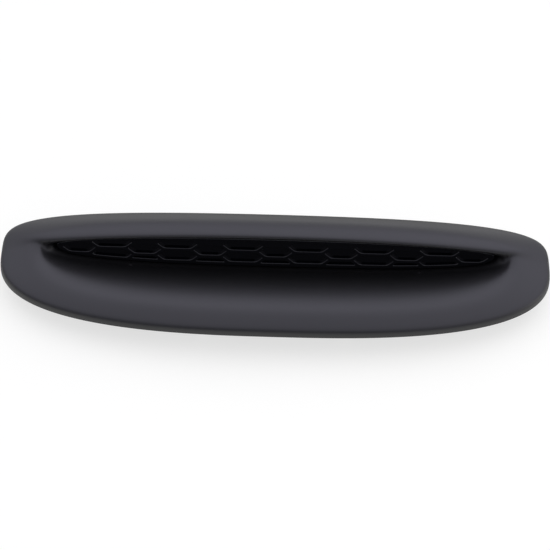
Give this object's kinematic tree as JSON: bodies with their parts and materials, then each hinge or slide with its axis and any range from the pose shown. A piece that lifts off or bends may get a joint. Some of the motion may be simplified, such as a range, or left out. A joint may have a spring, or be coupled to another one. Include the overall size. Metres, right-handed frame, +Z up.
{
  "type": "hood scoop",
  "caption": "Long oval moulded hood scoop with a rounded lip over a lens-shaped mouth that is closed by a blind honeycomb insert, held to the hood by spring clips.",
  "frame": {"origin": "on the floor that the lowest clips stand on, under the middle of the part's box; the line of the hood is 18.5 mm above it", "axes": "+X along the scoop, -Y towards the front of the car where the mouth opens, +Z up off the hood"},
  "size_m": [0.41, 0.1178, 0.0467],
  "materials": {
    "satin_black_plastic": "satin, fine grain",
    "gloss_black_plastic": "semi-gloss",
    "black_foam": "matt closed-cell foam",
    "spring_steel": "bare spring steel",
    "black_steel": "black plated"
  },
  "bodies": {
    "root": {"scoop_surround": "satin_black_plastic", "honeycomb_grille": "gloss_black_plastic", "perimeter_seal": "black_foam", "clip_front_left_inner": "spring_steel", "clip_front_left_outer": "spring_steel", "clip_front_right_inner": "spring_steel", "clip_front_right_outer": "spring_steel", "clip_rear_left_inner": "spring_steel", "clip_rear_left_outer": "spring_steel", "clip_rear_right_inner": "spring_steel", "clip_rear_right_outer": "spring_steel", "screw_left_inner": "black_steel", "screw_left_outer": "black_steel", "screw_right_inner": "black_steel", "screw_right_outer": "black_steel"}
  },
  "joints": []
}
